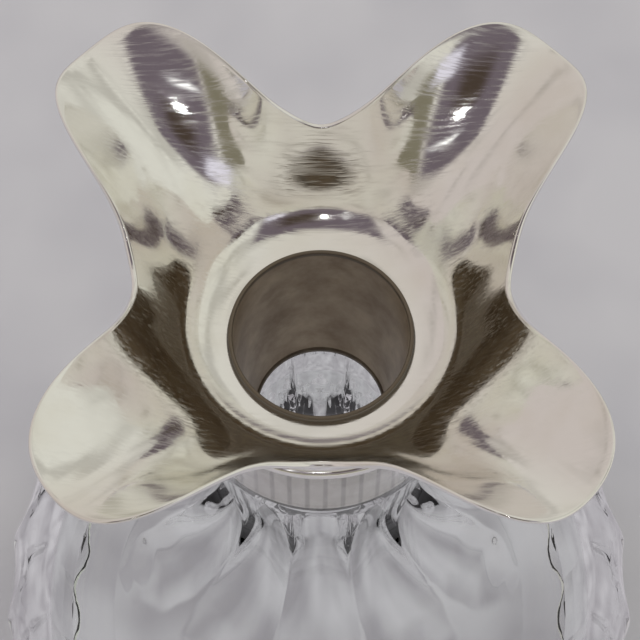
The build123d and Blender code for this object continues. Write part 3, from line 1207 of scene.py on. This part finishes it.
@dataclass(frozen=True)
class StudioCard(Finish):
    """One flat card of the studio, which only reflections show: where it stands, its size and its glow."""

    azimuth: float
    elevation: float
    distance: float
    size: Point
    tone: Card
    strength: float
    feather: float

    def surface(self, tree: Tree, place: Socket) -> Socket:
        """Add the glow, which fades to nothing towards the edges.

        Args:
            tree: Node tree of the material.
            place: Object coordinates in metres.

        Returns:
            The shader.
        """
        glow = add_node(tree, "ShaderNodeEmission", inputs={
            "Color": linear(self.tone.value), "Strength": self.strength})
        parts = split(tree, place)
        covers = []
        for axis, length in zip("XY", self.size):
            half = length / 2 * MM
            away = calculate(tree, "ABSOLUTE", parts[axis])
            covers.append(ramp(tree, away, (half * (1 - self.feather), half), (1.0, 0.0), smooth=True))
        clear = add_node(tree, "ShaderNodeBsdfTransparent")
        return add_node(tree, "ShaderNodeMixShader", inputs={
            0: calculate(tree, "MULTIPLY", *covers), 1: clear.outputs[0], 2: glow.outputs[0]}).outputs[0]

    def hang(self, centre: Vector) -> bpy.types.Object:
        """Hang the card so that it faces a point.

        Args:
            centre: Point that the card faces, in millimetres.

        Returns:
            The linked card.
        """
        turn, rise = math.radians(self.azimuth), math.radians(self.elevation)
        out = Vector((math.cos(rise) * math.sin(turn), -math.cos(rise) * math.cos(turn), math.sin(rise)))
        card = write_sheet(self.name, self.size, self.build())
        card.matrix_world = Matrix.Translation((centre + out * self.distance) * MM) @ \
            out.to_track_quat("Z", "Y").to_matrix().to_4x4()
        card.visible_camera = False
        card.visible_shadow = False
        card.visible_transmission = False
        card.visible_diffuse = False
        return card


@dataclass(frozen=True)
class StudioLamp:
    """One soft square lamp, which neither the silver nor the glass shows. The tint is linear."""

    name: str
    spot: Point3
    size: float
    power: float
    tint: Point3 = (1.0, 0.97, 0.92)
    aim: Point3 = (0.0, 0.0, 120.0)

    def build(self) -> bpy.types.Object:
        """Hang the lamp and point it at its aim.

        Returns:
            The linked lamp.
        """
        data = bpy.data.lights.new(self.name, "AREA")
        data.size, data.energy, data.color = self.size * MM, self.power, self.tint
        lamp = bpy.data.objects.new(self.name, data)
        lamp.location = Vector(self.spot) * MM
        lamp.visible_glossy = False
        lamp.visible_transmission = False
        lamp.rotation_euler = (Vector(self.aim) * MM - lamp.location).to_track_quat("-Z", "Y").to_euler()
        bpy.context.scene.collection.objects.link(lamp)
        return lamp


@dataclass(frozen=True)
class Studio:
    """Pale floor, soft lamps, reflection cards and an even sky with a few shaded folds.

    The floor lies a hair under the base, so that they don't touch. The camera sees the open
    sky, and light and reflections come from the one with the folds.
    """

    centre: Point3 = (0.0, 0.0, MOUTH + 10.0)
    floor_size: float = 3000.0
    floor_drop: float = 0.05
    left_sky: str = "#CDC4C0"
    right_sky: str = "#DFDED5"
    sky_span: Point = (-0.8, 0.8)
    open_sky: str = "#C9C5C6"
    shaded_sky: str = "#8F8A82"
    drape_scale: float = 2.1
    drape_span: Point = (0.34, 0.54)
    drape_share: float = 0.45
    sky_strength: float = 0.95
    lamps: tuple[StudioLamp, ...] = (
        StudioLamp("key_lamp", (-420.0, 260.0, 620.0), 380.0, 1.2),
        StudioLamp("fill_lamp", (460.0, 180.0, 560.0), 420.0, 0.8),
    )
    cards: tuple[StudioCard, ...] = (
        StudioCard("plum_coat_card", 3.0, 42.0, 430.0, (660.0, 330.0), Card.PLUM, 0.95, 0.22),
        StudioCard("umber_card", 14.0, 40.0, 420.0, (260.0, 170.0), Card.UMBER, 1.0, 0.7),
        StudioCard("table_card", 0.0, 13.0, 440.0, (640.0, 130.0), Card.OLIVE, 1.0, 0.3),
        StudioCard("window_card", 30.0, 21.0, 400.0, (110.0, 120.0), Card.LILAC, 1.15, 0.5),
        StudioCard("strip_card", -17.0, 32.0, 395.0, (34.0, 150.0), Card.WHITE, 1.5, 0.9),
        StudioCard("spot_card", -2.0, 38.0, 390.0, (14.0, 14.0), Card.WHITE, 80.0, 0.6),
    )

    def lay_floor(self) -> None:
        """Lay the floor."""
        floor = write_sheet("studio_floor", (self.floor_size, self.floor_size), PaleCloth().build())
        floor.location.z = -self.floor_drop * MM

    def raise_sky(self) -> None:
        """Make the world's sky."""
        world = bpy.data.worlds.new("studio_sky")
        bpy.context.scene.world = world
        world.use_nodes = True
        tree = world.node_tree
        tree.nodes.clear()
        aim = add_node(tree, "ShaderNodeTexCoord").outputs["Generated"]
        share = ramp(tree, split(tree, aim)["X"], self.sky_span)
        side = mix_colours(tree, share, linear(self.left_sky), linear(self.right_sky))
        folds = add_node(tree, "ShaderNodeTexNoise", inputs={
            "Vector": aim, "Scale": self.drape_scale, "Detail": 2.0, "Roughness": 0.45, "Distortion": 0.8})
        drape = ramp(tree, folds.outputs["Fac"], self.drape_span, (self.drape_share, 0.0), smooth=True)
        tone = mix_colours(tree, drape, side, linear(self.shaded_sky))
        seen = add_node(tree, "ShaderNodeLightPath").outputs["Is Camera Ray"]
        glow = add_node(tree, "ShaderNodeBackground", inputs={
            "Color": mix_colours(tree, seen, tone, linear(self.open_sky)), "Strength": self.sky_strength})
        add_node(tree, "ShaderNodeOutputWorld", inputs={"Surface": glow.outputs[0]})

    def build(self) -> None:
        """Set the floor, the sky, the lamps and the cards."""
        self.lay_floor()
        self.raise_sky()
        for lamp in self.lamps:
            lamp.build()
        for card in self.cards:
            card.hang(Vector(self.centre))


def dress_plaster(frame: dict) -> None:
    """Give the plaster bed's own solid its finish.

    Args:
        frame: The loaded frame.
    """
    piece = frame["nodes"]["plaster_bed"]
    material = SetPlaster().build()
    piece.data.materials.clear()
    piece.data.materials.append(material)


def place_piece(piece: bpy.types.Object, node: str) -> None:
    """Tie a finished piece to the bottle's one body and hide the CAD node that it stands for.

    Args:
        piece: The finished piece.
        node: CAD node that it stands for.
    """
    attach(piece, "root")
    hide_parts(node)
    LOG.info("%s stands for %s, %d faces", piece.name, node, len(piece.data.polygons))


def main() -> None:
    """Build the decanter piece by piece and light it."""
    logging.basicConfig(level=logging.INFO, format="%(name)s: %(message)s")
    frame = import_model()
    bpy.context.scene.view_settings.view_transform = "Standard"
    silver, dark, glass = PolishedSilver().build(), TarnishedSilver().build(), LeadGlass().build()
    # painted shade: a darker copy of the tarnished silver for the end wire, standing in for the shadow line
    # at the sleeve's lower end
    black = TarnishedSilver("shade_darkened_silver", "#857C70", "#5A5248").build()
    mount, seat, bottle = SilverMount(), StopperSeat(), CutBottle()
    place_piece(mount.build_wall(silver), "flared_wall")
    place_piece(mount.build_dish(silver), "dished_plate")
    place_piece(mount.build_foot(silver), "foot_ring")
    place_piece(seat.build_sleeve(dark), "stopper_sleeve")
    place_piece(seat.build_wire(black), "sleeve_end_wire")
    place_piece(GlassWork(bottle, BottleCutter(bottle)).build(glass), "glass_bottle")
    dress_plaster(frame)
    Studio().build()
    Viewpoint().build()


if __name__ == "__main__":
    main()
